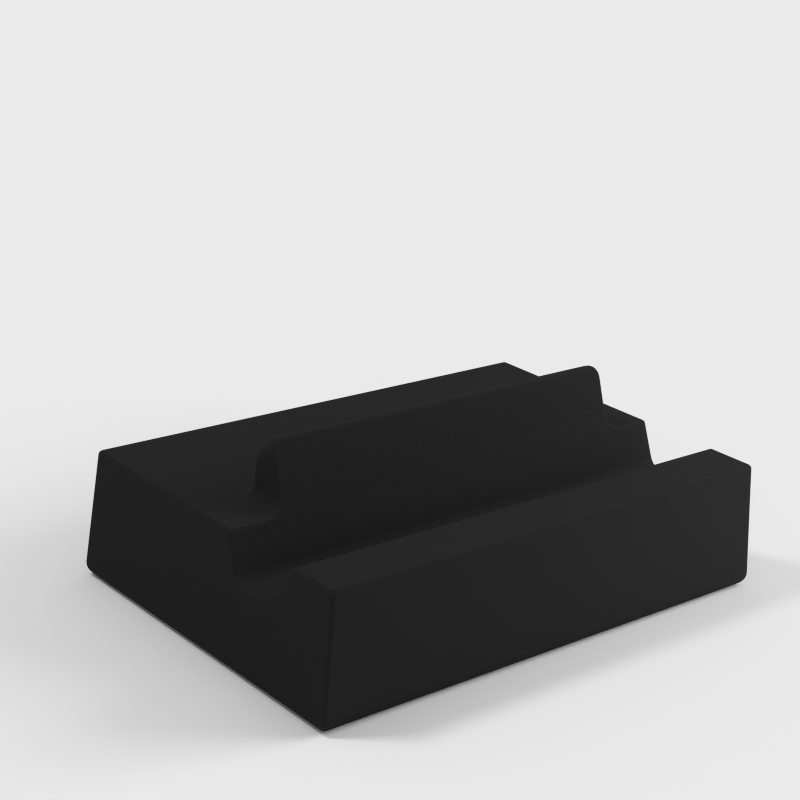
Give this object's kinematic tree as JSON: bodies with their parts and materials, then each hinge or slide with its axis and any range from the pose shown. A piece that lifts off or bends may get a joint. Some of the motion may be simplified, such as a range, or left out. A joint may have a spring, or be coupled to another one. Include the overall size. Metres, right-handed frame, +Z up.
{
  "type": "charging dock",
  "caption": "Printed one-piece charging dock for a handheld console: drafted block with a full-width slot, sloped backrest with a raised tab, plug well and rear cable channel.",
  "frame": {"origin": "middle of the footprint, on the surface that the dock stands on", "axes": "+X along the slot to the right, +Y from the front lip to the rear, +Z up"},
  "size_m": [0.1396, 0.0956, 0.0496],
  "materials": {
    "body": "matte black, printed in layers"
  },
  "bodies": {
    "root": {"dock_body": "body"}
  },
  "joints": []
}
